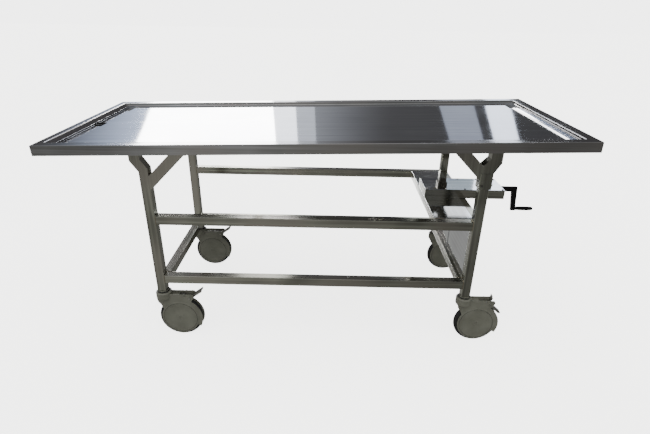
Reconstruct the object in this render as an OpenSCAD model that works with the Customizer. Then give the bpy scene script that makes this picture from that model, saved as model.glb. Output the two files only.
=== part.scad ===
// Elevating autopsy cart. A dished stainless top is hinged to the foot end of a tube frame,
// and a hand crank at the head end lifts it through a mitre gear pair and a jack screw.
// The cart stands on the floor at z = 0 with the middle of its outline over the origin.
// +X is the head end with the crank, and -Y is the near side.

/* [Table top] */
// Length of the top over its edges
table_l = 2184; // [2134:2:2286]
// Width of the top over its edges
table_w = 870; // [800:2:920]
// Height of the edge's upper face over the foot hinge
table_z = 971.5; // [968:0.5:1000]
// Rise of the head end as the cart is drawn, in degrees
rest_tilt = 1.5; // [0:0.1:2]
// Depth of the side aprons
apron_h = 42; // [40:1:48]
// Thickness of the top's sheet
sheet_t = 3; // [2:0.5:4]
// Width of the level edge along both long sides
side_rim_w = 28; // [24:1:34]
// Depth of the basin under the edge
basin_d = 14; // [10:1:16]
// Extra depth of the drain channel at each end
channel_d = 8; // [5:1:9]
// Width of the drain channel's floor
channel_w = 49; // [48:1:56]
// Outside diameter of the drain spout
drain_od = 48; // [42:1:48]

/* [Frame] */
// Distance from the middle to the centre of each leg, along the cart
leg_x = 704; // [680:1:730]
// Distance from the middle to the centre of each leg, across the cart
leg_y = 330; // [300:1:340]
// Width of the square frame tube
tube = 40; // [38:1:42]
// Wall of the square frame tube
tube_wall = 2.5; // [2:0.5:3]
// Height of the lower rails' upper face
low_rail_z = 333; // [320:1:380]
// Height of the shelf rails' upper face
mid_rail_z = 632; // [620:1:650]
// Height of the legs' lower ends
leg_bottom_z = 250; // [248:1:252]
// Sideways step at the top of each leg
leg_step = 32; // [26:1:34]
// Distance from the middle to the shelf's inner edge
shelf_x = 523; // [480:1:560]

/* [Head lift] */
// Width of the square sleeve that slides on each head leg
sleeve_w = 52; // [52:1:56]
// Wall of the sleeve
sleeve_wall = 3.5; // [3:0.5:3.5]
// Height of the sleeve's lower end as the cart is drawn
sleeve_z = 787; // [780:1:800]
// Upward travel left from the drawn position
lift_up = 30; // [10:1:32]
// Height of the head legs' upper ends
head_leg_top_z = 845; // [840:1:846]
// Diameter of the jack screw
screw_d = 20; // [18:1:20]
// Teeth on each mitre gear
gear_teeth = 16; // [14:1:18]
// Module of the mitre gears, pitch diameter over teeth
gear_module = 2; // [1.8:0.1:2]

/* [Gearbox and crank] */
// Outboard end of the gearbox, from the middle
box_x = 903; // [895:1:910]
// Distance from the gearbox's outboard end to the jack screw
jack_inset = 67; // [62:1:72]
// Width of the gearbox
box_w = 160; // [140:2:170]
// Height of the gearbox
box_h = 44; // [44:1:50]
// Diameter of the crank's bar
crank_d = 26; // [20:1:26]
// Length of the crank's arm between centres
crank_arm = 96; // [90:1:120]
// Swing of the crank's arm from straight down, towards -Y
crank_swing = 15; // [0:1:30]
// Length of the turning grip
grip_l = 84; // [70:1:90]

/* [Casters] */
// Diameter of each wheel over its tyre
wheel_d = 203; // [200:1:205]
// Width of each tyre
tyre_w = 30; // [26:1:34]
// Offset of each axle behind its swivel
caster_trail = 70; // [60:1:75]
// Diameter of the round cover on each side of a fork
cover_d = 176; // [150:2:180]
// Angle between a raised brake pedal and a pressed one
pedal_travel = 78; // [50:1:80]

/* [Hidden] */
$fn = 64;
fit_gap = 0.3;
bore_gap = 0.1;
corner_r = 3;
over = 1;

// The foot hinge, and the top's shift that centres its tilted outline on the origin
hinge_x = -leg_x;
hinge_drop = 29.5;
hinge_z = table_z - hinge_drop;
apron_z = table_z - apron_h;
table_dx = hinge_x + (-2 * hinge_x + (table_z + apron_z - 2 * hinge_z) * sin(rest_tilt))
    / (2 * cos(rest_tilt));
floor_z = table_z - basin_d;
under_z = floor_z - sheet_t;
side_edge_w = 48;
end_edge_w = 50;
end_rim_w = side_rim_w * end_edge_w / side_edge_w;
lip_w = 18;
inner_y = table_w / 2 - side_edge_w;
inner_x = table_l / 2 - end_edge_w;
channel_x = inner_x - sheet_t - channel_w;
channel_step = 8;
channel_z = floor_z - channel_d;
drain_x = -(channel_x + channel_w / 2);
drain_bore = drain_od - 6;
drain_l = 42;
drain_flange_d = 58;
stiffener_x = [-350, 0, 350];
stiffener_w = 40;

// The frame
leg_out_x = leg_x + tube / 2;
leg_in_x = leg_x - tube / 2;
leg_in_y = leg_y - tube / 2;
low_rail_bottom = low_rail_z - tube;
mid_rail_bottom = mid_rail_z - tube;
end_rail_x = leg_x - tube / 2;
arm_w = 45;
foot_rail_drop = 65.5;
foot_rail_z = table_z - foot_rail_drop;
foot_rail_h = 25;
foot_arm_l = 204;
foot_brace_run = 154;
step_rise = 47;
step_drop = 73;
step_z = foot_rail_z - step_drop;
leg_jog = 14;
step_thin = 4;
notch_drop = 90;
knuckle_r = 9;
hinge_pin_r = 5;
hinge_y = 250;
ear_t = 6;
ear_foot = 4;
knuckle_l = 15;
side_gap = 0.5;
panel_t = 2;
shelf_t = 2;
shelf_z = mid_rail_z + shelf_t;
shelf_overlap = 8;
shelf_flange = 20;

// The head lift
lift_span = leg_x - hinge_x;
lift_down = lift_span * tan(rest_tilt);
sleeve_in = sleeve_w - 2 * sleeve_wall;
yoke_rail_drop = 26.5;
yoke_rail_z = table_z - yoke_rail_drop;
yoke_rail_h = 30;
yoke_rail_l = 26;
yoke_inner_run = 164;
yoke_inner_x = leg_x - yoke_inner_run;
jack_x = box_x - jack_inset;
sleeve_h = 68;
head_step_z = sleeve_z + sleeve_h;
head_step = 27;
head_step_rise = 45;
head_brace_drop = 29.5;
head_brace_w = 26;
head_notch_rise = 33;
head_notch_z = head_step_z + head_notch_rise;
head_notch_h = 30;
head_cavity_z = head_leg_top_z + lift_down + 4;
brace_w = 46;
rest_bar_r = 8;
rest_bar_z = yoke_rail_z + yoke_rail_h + rest_bar_r;
glide_h = 18;
glide_inset = 2;
glide_pitch = 26;
glide_z = [sleeve_z + glide_inset, sleeve_z + glide_inset + glide_pitch];

// The gearbox
box_z = shelf_z;
box_top = box_z + box_h;
box_wall = 3;
crank_rise = 23;
crank_z = box_z + crank_rise;
pitch_r = gear_module * gear_teeth / 2;
gear_face = 5.6;
tooth_top = 0.088;
tooth_root = 0.115;
tooth_share = 0.42;
neck_r = 6;
lift_tube_r = 14.3;
lift_tube_bore = 12;
guide_r = 17;
guide_h = 105;
lift_tube_rise = 42;
lift_tube_z = box_top + lift_tube_rise;
nut_l = 30;
screw_spare = 46;
screw_top = lift_tube_z + nut_l + lift_up + screw_spare + 2;
crank_reach = 75;
crank_arm_x = box_x + crank_reach;
crank_bearing_r = 17;
crank_bearing_l = 9;
crank_boss_r = 13.5;
collar_r = 16.5;
collar_l = 6;
spindle_r = 5;
grip_r = 10;

// The casters
wheel_r = wheel_d / 2;
rim_r = 78;
axle_r = 6;
hub_r = 19;
cheek_t = 4;
cheek_gap = 2;
cheek_y = tyre_w / 2 + cheek_gap;
cheek_out = cheek_y + cheek_t;
crown_top = leg_bottom_z - 19;
crown_bottom = wheel_d + 5;
web_top = crown_top - 8;
web_l = 72;
cheek_back = 30;
crown_front = 145;
hood_gap = 4;
hood_low = 8;
cup_r = 36;
cup_top = leg_bottom_z - 9;
cup_bevel = 4;
cover_bevel = 2;
cap_r = 8;
rivet_r = 4;
rivet_x = [100, 128];
race_r = 26;
stem_r = 10;
stem_l = 38;
socket_l = 42;
pedal_x = 122.5;
pedal_z = crown_top - 20;
pedal_l = 75;
pedal_w = 28;
pedal_t = 3;
pedal_flange = 8;
pedal_angle = 36;
pedal_hub_r = 6;
pedal_pin_r = 3;
lug_l = 42;
lug_w = 22;
lug_angle = 124;

// Rectangle with rounded corners, centred
module rounded_rect(w, h, r) {
    square([w - 2 * r, h], center = true);
    square([w, h - 2 * r], center = true);
    for (sx = [-1, 1], sy = [-1, 1])
        translate([sx * (w / 2 - r), sy * (h / 2 - r)]) circle(r = r);
}

// Cross-section of a rectangular tube
module tube_section(w, h, wall) {
    difference() {
        rounded_rect(w, h, corner_r);
        square([w - 2 * wall, h - 2 * wall], center = true);
    }
}

// Rectangular tube along X from x0 to x1, with its middle at y and its underside at z
module tube_along_x(x0, x1, y, z, w = tube, h = tube, wall = tube_wall) {
    translate([x0, y, z + h / 2]) rotate([90, 0, 90])
        linear_extrude(x1 - x0) tube_section(w, h, wall);
}

// Rectangular tube along Y from y0 to y1, with its middle at x and its underside at z
module tube_along_y(y0, y1, x, z, w = tube, h = tube, wall = tube_wall) {
    translate([x, y1, z + h / 2]) rotate([90, 0, 0])
        linear_extrude(y1 - y0) tube_section(w, h, wall);
}

// Upright square tube
module tube_upright(x, y, z0, z1, w = tube, wall = tube_wall) {
    translate([x, y, z0]) linear_extrude(z1 - z0) tube_section(w, w, wall);
}

// Plate cut to an outline in the X-Z plane, its middle at y
module side_plate(y, t) {
    translate([0, y + t / 2, 0]) rotate([90, 0, 0]) linear_extrude(t) children();
}

// Tilts a level table part about the foot hinge into its drawn position
module tilted() {
    translate([hinge_x, 0, hinge_z]) rotate([0, -rest_tilt, 0])
        translate([table_dx - hinge_x, 0, -hinge_z]) children();
}

// Floor sheet of the basin, which steps down into a drain channel at each end
module table_pan() {
    side_x = channel_x - channel_step;
    color("gainsboro") tilted() difference() {
        union() {
            side_plate(0, 2 * inner_y) polygon([
                [-inner_x, channel_z - sheet_t],
                [-channel_x, channel_z - sheet_t],
                [-side_x, under_z],
                [side_x, under_z],
                [channel_x, channel_z - sheet_t],
                [inner_x, channel_z - sheet_t],
                [inner_x, floor_z],
                [inner_x - sheet_t, floor_z],
                [inner_x - sheet_t, channel_z],
                [channel_x, channel_z],
                [side_x, floor_z],
                [-side_x, floor_z],
                [-channel_x, channel_z],
                [-inner_x + sheet_t, channel_z],
                [-inner_x + sheet_t, floor_z],
                [-inner_x, floor_z]]);
            for (sx = [-1, 1], sy = [-1, 1]) side_plate(sy * (inner_y - sheet_t / 2), sheet_t)
                polygon([
                    [sx * side_x, under_z],
                    [sx * channel_x, channel_z - sheet_t],
                    [sx * inner_x, channel_z - sheet_t],
                    [sx * inner_x, floor_z],
                    [sx * side_x, floor_z]]);
        }
        translate([drain_x, 0, channel_z - 4 * sheet_t])
            cylinder(d = drain_bore, h = 8 * sheet_t);
    }
}

// Section of one edge of the top: rim, slope into the basin, apron and return lip.
// The origin is the outer top corner and the edge lies towards +X.
module edge_section(rim, width) {
    polygon([
        [0, -apron_h],
        [lip_w, -apron_h],
        [lip_w, sheet_t - apron_h],
        [sheet_t, sheet_t - apron_h],
        [sheet_t, -sheet_t],
        [rim - 1, -sheet_t],
        [width - 1, -basin_d - sheet_t],
        [width, -basin_d - sheet_t],
        [width, -basin_d],
        [rim, 0],
        [2, 0],
        [0, -2]]);
}

// Plan of a long edge, mitred at both ends
module side_edge_plan() {
    polygon([[-table_l / 2, -table_w / 2], [table_l / 2, -table_w / 2], [inner_x, -inner_y],
        [-inner_x, -inner_y]]);
}

// Plan of an end edge, mitred at both ends
module end_edge_plan() {
    polygon([[-table_l / 2, -table_w / 2], [-inner_x, -inner_y], [-inner_x, inner_y],
        [-table_l / 2, table_w / 2]]);
}

// Long edge of the top, drawn on the near side
module side_edge() {
    intersection() {
        translate([-table_l / 2, -table_w / 2, table_z]) rotate([90, 0, 90])
            linear_extrude(table_l) edge_section(side_rim_w, side_edge_w);
        translate([0, 0, table_z - apron_h - over]) linear_extrude(apron_h + 2 * over)
            side_edge_plan();
    }
}

// End edge of the top, drawn at the foot end
module end_edge() {
    intersection() {
        translate([-table_l / 2, table_w / 2, table_z]) rotate([90, 0, 0])
            linear_extrude(table_w) edge_section(end_rim_w, end_edge_w);
        translate([0, 0, table_z - apron_h - over]) linear_extrude(apron_h + 2 * over)
            end_edge_plan();
    }
}

module front_edge() { color("silver") tilted() side_edge(); }
module rear_edge() { color("silver") tilted() mirror([0, 1, 0]) side_edge(); }
module foot_edge() { color("silver") tilted() end_edge(); }
module head_edge() { color("silver") tilted() mirror([1, 0, 0]) end_edge(); }

// Three channels welded across under the top
module cross_channels() {
    color("darkgray") tilted() for (x = stiffener_x)
        translate([x - stiffener_w / 2, -inner_y + 4, apron_z]) difference() {
            cube([stiffener_w, 2 * inner_y - 8, under_z - apron_z]);
            translate([sheet_t, -over, -over])
                cube([stiffener_w - 2 * sheet_t, 2 * inner_y, under_z - apron_z - sheet_t + over]);
        }
}

// Drain spout with its flange under the foot end's channel
module drain_fitting() {
    color("silver") tilted() translate([drain_x, 0, channel_z - sheet_t]) {
        difference() {
            union() {
                translate([0, 0, -sheet_t]) cylinder(d = drain_flange_d, h = sheet_t);
                translate([0, 0, -drain_l]) cylinder(d = drain_od, h = drain_l);
            }
            translate([0, 0, -drain_l - over]) cylinder(d = drain_bore, h = drain_l + 2 * over);
        }
    }
}

// Hinge knuckles, one on each side, hanging from the top at the foot end
module hinge_knuckles() {
    color("gray") tilted() for (s = [-1, 1])
        translate([hinge_x - table_dx, s * hinge_y + knuckle_l / 2, hinge_z])
            rotate([90, 0, 0]) difference() {
                union() {
                    cylinder(r = knuckle_r, h = knuckle_l);
                    translate([-knuckle_r, 0, 0]) cube([2 * knuckle_r, under_z - hinge_z, knuckle_l]);
                }
                translate([0, 0, -over])
                    cylinder(r = hinge_pin_r + bore_gap, h = knuckle_l + 2 * over);
            }
}

// Ears on the foot beam that hold the hinge pins
module hinge_brackets() {
    beam_top = foot_rail_z + foot_rail_h;
    color("gray") for (s = [-1, 1], e = [-1, 1])
        translate([hinge_x, s * hinge_y + e * (knuckle_l / 2 + side_gap + ear_t / 2) + ear_t / 2,
            hinge_z]) rotate([90, 0, 0]) difference() {
                union() {
                    cylinder(r = knuckle_r, h = ear_t);
                    translate([-knuckle_r - ear_foot, beam_top - hinge_z, 0])
                        cube([2 * (knuckle_r + ear_foot), ear_foot, ear_t]);
                    translate([-knuckle_r, beam_top - hinge_z, 0])
                        cube([2 * knuckle_r, hinge_z - beam_top, ear_t]);
                }
                translate([0, 0, -over]) cylinder(r = hinge_pin_r, h = ear_t + 2 * over);
            }
}

// Hinge pins with a head outside each pair of ears
module hinge_pins() {
    span = knuckle_l + 2 * side_gap + 2 * ear_t;
    color("dimgray") for (s = [-1, 1])
        translate([hinge_x, s * hinge_y + span / 2, hinge_z]) rotate([90, 0, 0]) {
            cylinder(r = hinge_pin_r, h = span);
            translate([0, 0, -4]) cylinder(r = hinge_pin_r + 3, h = 4);
            translate([0, 0, span]) cylinder(r = hinge_pin_r + 2, h = 3);
        }
}

// Outline of a foot leg with its outward step, inboard brace and top rail, inset by w
module foot_leg_outline(w) {
    outer = -leg_out_x + w;
    inner = -leg_in_x - w;
    inner_step = leg_step - step_thin;
    step = -leg_out_x - leg_step + w;
    rail_end = -leg_out_x + foot_arm_l - w;
    low = leg_bottom_z - (w > 0 ? over : 0);
    rail_low = foot_rail_z + w;
    slant = w * sqrt(2);
    polygon([
        [outer, low],
        [inner, low],
        [inner, step_z + leg_jog + w / 2],
        [inner - inner_step, step_z + leg_jog + step_rise - step_thin + w / 2],
        [inner - inner_step, rail_low],
        [rail_end, rail_low],
        [rail_end, foot_rail_z + foot_rail_h - w],
        [step, foot_rail_z + foot_rail_h - w],
        [step, step_z + step_rise],
        [outer, step_z]]);
    polygon([
        [-leg_in_x + w, foot_rail_z - foot_brace_run + slant + w],
        [-leg_in_x + foot_brace_run - slant, rail_low],
        [-leg_in_x + notch_drop + slant, rail_low],
        [-leg_in_x + w, foot_rail_z - notch_drop - slant + w]]);
}

// Fabricated foot leg, with its lower end open for the caster socket
module foot_leg(side) {
    color("darkkhaki") difference() {
        side_plate(side * leg_y, tube) foot_leg_outline(0);
        side_plate(side * leg_y, tube - 2 * tube_wall) foot_leg_outline(tube_wall);
    }
}

module foot_leg_front() { foot_leg(-1); }
module foot_leg_rear() { foot_leg(1); }

// Beam between the foot legs' top rails, which carries the hinges
module foot_cross_beam() {
    color("darkkhaki")
        tube_along_y(-leg_in_y, leg_in_y, hinge_x, foot_rail_z, tube, foot_rail_h);
}

// Straight head leg that the sleeve slides on
module head_leg(side) {
    color("darkkhaki") tube_upright(leg_x, side * leg_y, leg_bottom_z, head_leg_top_z);
}

module head_leg_front() { head_leg(-1); }
module head_leg_rear() { head_leg(1); }

module mid_rail(side) {
    color("darkkhaki") tube_along_x(-leg_in_x, leg_in_x, side * leg_y, mid_rail_bottom);
}

module low_rail(side) {
    color("darkkhaki") tube_along_x(-leg_in_x, leg_in_x, side * leg_y, low_rail_bottom);
}

module mid_rail_front() { mid_rail(-1); }
module mid_rail_rear() { mid_rail(1); }
module low_rail_front() { low_rail(-1); }
module low_rail_rear() { low_rail(1); }

module foot_end_rail() {
    color("darkkhaki") tube_along_y(-leg_in_y, leg_in_y, -end_rail_x, low_rail_bottom);
}

module head_end_rail() {
    color("darkkhaki") tube_along_y(-leg_in_y, leg_in_y, end_rail_x, low_rail_bottom);
}

module head_mid_rail() {
    color("darkkhaki") tube_along_y(-leg_in_y, leg_in_y, leg_x, mid_rail_bottom);
}

module shelf_rail() {
    color("darkkhaki") tube_along_y(-leg_in_y, leg_in_y, shelf_x + tube / 2, mid_rail_bottom);
}

// Shelf sheet that lies on the shelf rail and laps onto the head rail, with side flanges
module shelf_pan() {
    inboard = shelf_x + tube;
    outboard = leg_in_x;
    width = 2 * leg_in_y - 2;
    color("gainsboro") {
        translate([shelf_x, -width / 2, mid_rail_z])
            cube([outboard + shelf_overlap - shelf_x, width, shelf_t]);
        for (s = [-1, 1])
            translate([inboard + over, s * (width / 2 - shelf_t / 2) - shelf_t / 2,
                mid_rail_z - shelf_flange])
                cube([outboard - inboard - 2 * over, shelf_t, shelf_flange]);
    }
}

// Closing panel at the head end, from the low end rail up to the shelf rail's level
module head_end_panel() {
    bead_w = 24;
    bead_t = 3;
    color("silver") translate([end_rail_x, -leg_in_y + over, low_rail_z]) {
        cube([panel_t, 2 * leg_in_y - 2 * over, mid_rail_bottom - low_rail_z]);
        translate([-bead_t, leg_in_y - over - bead_w / 2, 0])
            cube([bead_t, bead_w, mid_rail_bottom - low_rail_z]);
        translate([0, 0, mid_rail_bottom - low_rail_z - panel_t])
            cube([tube / 2, 2 * leg_in_y - 2 * over, panel_t]);
    }
}

// Bored plugs in the legs' lower ends
module caster_sockets() {
    plug = tube - 2 * tube_wall - 0.1;
    color("dimgray") for (sx = [-1, 1], sy = [-1, 1])
        translate([sx * leg_x, sy * leg_y, leg_bottom_z]) difference() {
            translate([-plug / 2, -plug / 2, 0]) cube([plug, plug, socket_l]);
            translate([0, 0, -over]) cylinder(r = stem_r + bore_gap, h = socket_l + 2 * over);
        }
}

// Gearbox body, open at the top, with bearings for the screw and the crank
module gear_housing() {
    color("dimgray") difference() {
        union() {
            difference() {
                translate([shelf_x, -box_w / 2, box_z])
                    cube([box_x - shelf_x, box_w, box_h - box_wall]);
                translate([shelf_x + box_wall, -box_w / 2 + box_wall, box_z + box_wall])
                    cube([box_x - shelf_x - 2 * box_wall, box_w - 2 * box_wall, box_h]);
            }
            translate([box_x - box_wall - crank_bearing_l, 0, crank_z]) rotate([0, 90, 0])
                cylinder(r = crank_bearing_r, h = crank_bearing_l + box_wall / 2);
        }
        translate([jack_x, 0, box_z - over])
            cylinder(r = neck_r + bore_gap, h = box_wall + 2 * over);
        translate([box_x - box_wall - crank_bearing_l - over, 0, crank_z]) rotate([0, 90, 0])
            cylinder(r = crank_d / 2 + bore_gap, h = crank_bearing_l + box_wall + 2 * over);
    }
}

// Gearbox lid with the guide tube of the jack
module housing_lid() {
    color("silver") difference() {
        union() {
            translate([shelf_x, -box_w / 2, box_top - box_wall])
                cube([box_x - shelf_x, box_w, box_wall]);
            translate([jack_x, 0, box_top - box_wall]) cylinder(r = guide_r, h = guide_h);
        }
        translate([jack_x, 0, box_top - 2 * box_wall])
            cylinder(r = lift_tube_r + bore_gap, h = guide_h + 3 * box_wall);
    }
}

// Outline of a head sleeve's step, inboard brace and top rail, inset by w
module head_arm_outline(w) {
    inner = leg_x - sleeve_w / 2;
    outer = leg_x + sleeve_w / 2;
    step_x = outer + head_step - w;
    rail_low = yoke_rail_z + w;
    rail_high = yoke_rail_z + yoke_rail_h - w;
    slant = w * sqrt(2);
    polygon([
        [inner + w, head_step_z - head_brace_drop + slant],
        [inner + w + head_brace_w - slant, head_step_z + w / 2],
        [outer - w, head_step_z + w],
        [step_x, head_step_z + head_step_rise + w / 2],
        [step_x, rail_low],
        [jack_x + yoke_rail_l - w, rail_low],
        [jack_x + yoke_rail_l - w, rail_high],
        [yoke_inner_x + w, rail_high],
        [yoke_inner_x + w, rail_low],
        [inner + head_brace_drop - (yoke_rail_z - head_step_z) - 2 * head_brace_drop + slant,
            rail_low],
        [inner + w, head_step_z - head_brace_drop + slant]]);
}

// Opening between the brace, the step and the top rail of a head sleeve
module head_arm_opening(w) {
    left = leg_x - sleeve_w / 2 + 5;
    right = leg_x + sleeve_w / 2 + head_step - brace_w;
    polygon([
        [left, head_notch_z - w],
        [right + w, head_notch_z + head_notch_h - w],
        [right + w, yoke_rail_z + w],
        [left - (yoke_rail_z - head_notch_z) - w * sqrt(2), yoke_rail_z + w]]);
}

// Sleeve that lifts the head end, sliding on a head leg
module head_sleeve(side) {
    color("darkkhaki") difference() {
        union() {
            side_plate(side * leg_y, arm_w) difference() {
                head_arm_outline(0);
                head_arm_opening(0);
            }
            translate([leg_x, side * leg_y, sleeve_z]) linear_extrude(head_step_z - sleeve_z)
                rounded_rect(sleeve_w, sleeve_w, corner_r);
        }
        side_plate(side * leg_y, arm_w - 2 * tube_wall) difference() {
            head_arm_outline(tube_wall);
            head_arm_opening(tube_wall);
            translate([leg_x - sleeve_w, head_step_z - sleeve_w])
                square([2 * sleeve_w, sleeve_w]);
        }
        translate([leg_x - sleeve_in / 2, side * leg_y - sleeve_in / 2, sleeve_z - over])
            cube([sleeve_in, sleeve_in, head_step_z - sleeve_z]);
        translate([leg_x - tube / 2 - 1, side * leg_y - tube / 2 - 1, sleeve_z])
            cube([tube + 2, tube + 2, head_cavity_z - sleeve_z]);
    }
}

module head_sleeve_front() { head_sleeve(-1); }
module head_sleeve_rear() { head_sleeve(1); }

// Cross beams between the sleeves' top rails
module yoke_beam(x) {
    color("darkkhaki")
        tube_along_y(-leg_y + arm_w / 2, leg_y - arm_w / 2, x, yoke_rail_z, tube, yoke_rail_h);
}

module yoke_beam_inner() { yoke_beam(yoke_inner_x + tube / 2); }
module yoke_beam_outer() { yoke_beam(jack_x); }

// Round bar that the top rests on, free to slide under it as the tilt changes
module rest_bar() {
    color("silver") translate([leg_x, leg_y, rest_bar_z]) rotate([90, 0, 0])
        cylinder(r = rest_bar_r, h = 2 * leg_y);
}

// Lifting tube that hangs from the outer beam and slides in the guide tube
module lift_tube() {
    color("silver") difference() {
        union() {
            translate([jack_x, 0, lift_tube_z])
                cylinder(r = lift_tube_r, h = yoke_rail_z - lift_tube_z);
            translate([jack_x, 0, yoke_rail_z - 5]) cylinder(r = tube / 2, h = 5);
        }
        translate([jack_x, 0, lift_tube_z - over])
            cylinder(r = lift_tube_bore, h = yoke_rail_z - lift_tube_z - 4);
    }
}

// Nut fixed in the lifting tube's lower end
module lift_nut() {
    color("goldenrod") translate([jack_x, 0, lift_tube_z + 2]) difference() {
        cylinder(r = lift_tube_bore, h = nut_l);
        translate([0, 0, -over]) cylinder(r = screw_d / 2 + bore_gap, h = nut_l + 2 * over);
    }
}

// Plastic rings inside the sleeves, two to a leg
module sleeve_glides() {
    color("ivory") for (s = [-1, 1], z = glide_z)
        translate([leg_x, s * leg_y, z]) linear_extrude(glide_h) difference() {
            square([sleeve_in, sleeve_in], center = true);
            square([tube + 2 * fit_gap, tube + 2 * fit_gap], center = true);
        }
}

// Jack screw with a plain neck through the gearbox
module jack_screw() {
    color("slategray") translate([jack_x, 0, 0]) {
        translate([0, 0, box_z + 0.5]) cylinder(r = neck_r, h = box_h + 8);
        translate([0, 0, box_top + 8]) cylinder(r = screw_d / 2, h = screw_top - box_top - 8);
    }
}

// Outline of a straight-toothed gear at its large end, turned by a share of one tooth
module gear_outline(turn) {
    pitch = 360 / gear_teeth;
    tip = pitch * tooth_share / 4;
    root = pitch * tooth_share * 3 / 4;
    polygon([for (i = [0 : gear_teeth - 1], p = [[-root, -tooth_root], [-tip, tooth_top],
        [tip, tooth_top], [root, -tooth_root]])
        let (a = (i + turn) * pitch + p[0], r = pitch_r * (1 + p[1])) [r * cos(a), r * sin(a)]]);
}

// Mitre gear with its cone point at the origin, its back towards -Z, and its hub
module mitre_gear(turn, hub_l) {
    difference() {
        translate([0, 0, -pitch_r]) {
            linear_extrude(gear_face, scale = (pitch_r - gear_face) / pitch_r) gear_outline(turn);
            translate([0, 0, -hub_l]) cylinder(r = pitch_r * (1 - tooth_root), h = hub_l);
        }
        translate([0, 0, -pitch_r - hub_l - over])
            cylinder(r = neck_r, h = gear_face + hub_l + 2 * over);
    }
}

// Gear on the screw, whose hub bears on the gearbox floor
module screw_gear() {
    hub_l = crank_z - pitch_r - box_z - box_wall - fit_gap;
    color("peru") translate([jack_x, 0, crank_z]) mitre_gear(0, hub_l);
}

// Gear on the crankshaft, turned half a tooth so that it meshes
module crank_gear() {
    color("peru") translate([jack_x, 0, crank_z]) rotate([0, -90, 0]) mitre_gear(0.5, 1);
}

// Turns a part of the crank about the crankshaft
module swung() {
    translate([0, 0, crank_z]) rotate([-crank_swing, 0, 0]) translate([0, 0, -crank_z]) children();
}

// Crankshaft with its thrust collar, arm and grip spindle
module crank_handle() {
    shaft_x = jack_x + pitch_r + 1;
    grip_z = crank_z - crank_arm;
    arm_x = crank_arm_x - crank_boss_r;
    color("black") swung() {
        translate([jack_x + pitch_r - gear_face, 0, crank_z]) rotate([0, 90, 0])
            cylinder(r = neck_r, h = gear_face + 2);
        translate([shaft_x, 0, crank_z]) rotate([0, 90, 0])
            cylinder(d = crank_d, h = crank_arm_x - shaft_x);
        translate([box_x - box_wall - crank_bearing_l - fit_gap - collar_l, 0, crank_z])
            rotate([0, 90, 0]) cylinder(r = collar_r, h = collar_l);
        translate([arm_x, 0, crank_z]) rotate([0, 90, 0])
            cylinder(r = crank_boss_r, h = 2 * crank_boss_r);
        translate([crank_arm_x, 0, grip_z]) cylinder(d = crank_d, h = crank_arm);
        translate([arm_x, 0, grip_z]) rotate([0, 90, 0])
            cylinder(r = crank_boss_r, h = 2 * crank_boss_r);
        translate([crank_arm_x, 0, grip_z]) rotate([0, 90, 0])
            cylinder(r = spindle_r, h = crank_boss_r + grip_l + 1);
    }
}

// Sleeve grip that turns on the spindle
module crank_grip() {
    color("black") swung()
        translate([crank_arm_x + crank_boss_r + fit_gap, 0, crank_z - crank_arm])
            rotate([0, 90, 0]) difference() {
                cylinder(r = grip_r, h = grip_l);
                translate([0, 0, -over]) cylinder(r = spindle_r + bore_gap, h = grip_l + 2 * over);
            }
}

// Places a caster part under its leg, with the axle trailing towards +X
module at_caster(sx, sy) { translate([sx * leg_x, sy * leg_y, 0]) children(); }

// Side outline of a cheek above its round cover, with the hood over the front of the tyre
module cheek_outline() {
    hood_r = wheel_r + hood_gap;
    polygon([
        [caster_trail, hood_low],
        [0, wheel_r + 40],
        [-cheek_back + 16, crown_top - 58],
        [-cheek_back + 4, crown_top - 42],
        [-cheek_back, crown_top - 24],
        [-cheek_back, crown_top],
        [crown_front - 7, crown_top],
        [crown_front, crown_top - 9],
        [crown_front - 2, crown_top - 18],
        [crown_front - 12, crown_top - 32],
        [caster_trail, wheel_r]]);
    intersection() {
        translate([caster_trail, wheel_r]) circle(r = hood_r);
        polygon([
            [caster_trail, wheel_r],
            [caster_trail + 2 * hood_r, wheel_r - hood_r],
            [caster_trail + 2 * hood_r, crown_top],
            [crown_front - 12, crown_top - 32]]);
    }
}

// One cheek of the fork with its bevelled round cover, outer face towards +Y
module fork_cheek() {
    cover_r = cover_d / 2;
    side_plate(cheek_y + (cheek_t - 1) / 2, cheek_t - 1) cheek_outline();
    translate([caster_trail, cheek_y, wheel_r]) rotate([-90, 0, 0]) {
        cylinder(r = cover_r, h = cheek_t - cover_bevel);
        translate([0, 0, cheek_t - cover_bevel])
            cylinder(r1 = cover_r, r2 = cover_r - cover_bevel, h = cover_bevel);
    }
}

// Fork with two covered cheeks, round swivel cup, web, stem and axle
module caster_fork(sx, sy) {
    color("gray") at_caster(sx, sy) difference() {
        union() {
            fork_cheek();
            mirror([0, 1, 0]) fork_cheek();
            translate([0, -cheek_y - over, crown_bottom])
                cube([web_l, 2 * cheek_y + 2 * over, web_top - crown_bottom]);
            translate([0, 0, crown_bottom]) cylinder(r = cup_r, h = cup_top - cup_bevel - crown_bottom);
            translate([0, 0, cup_top - cup_bevel])
                cylinder(r1 = cup_r, r2 = cup_r - cup_bevel, h = cup_bevel);
            translate([0, 0, cup_top - over])
                cylinder(r = race_r, h = leg_bottom_z - fit_gap - cup_top + over);
            translate([0, 0, leg_bottom_z - over]) cylinder(r = stem_r, h = stem_l);
            translate([caster_trail, -cheek_y - over, wheel_r]) rotate([-90, 0, 0])
                cylinder(r = axle_r, h = 2 * cheek_y + 2 * over);
            for (s = [-1, 1], x = rivet_x) translate([x, s * cheek_y, crown_top - rivet_r])
                rotate([-90 * s, 0, 0]) cylinder(r = rivet_r, h = cheek_t + 1);
        }
        translate([pedal_x, cheek_out + over, pedal_z]) rotate([90, 0, 0])
            cylinder(r = pedal_pin_r + bore_gap, h = 2 * (cheek_out + over));
        for (s = [-1, 1])
            translate([caster_trail, s * (cheek_out + over) + 2, wheel_r])
                rotate([90, 0, 0]) cylinder(r = cap_r, h = 4);
    }
}

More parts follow.
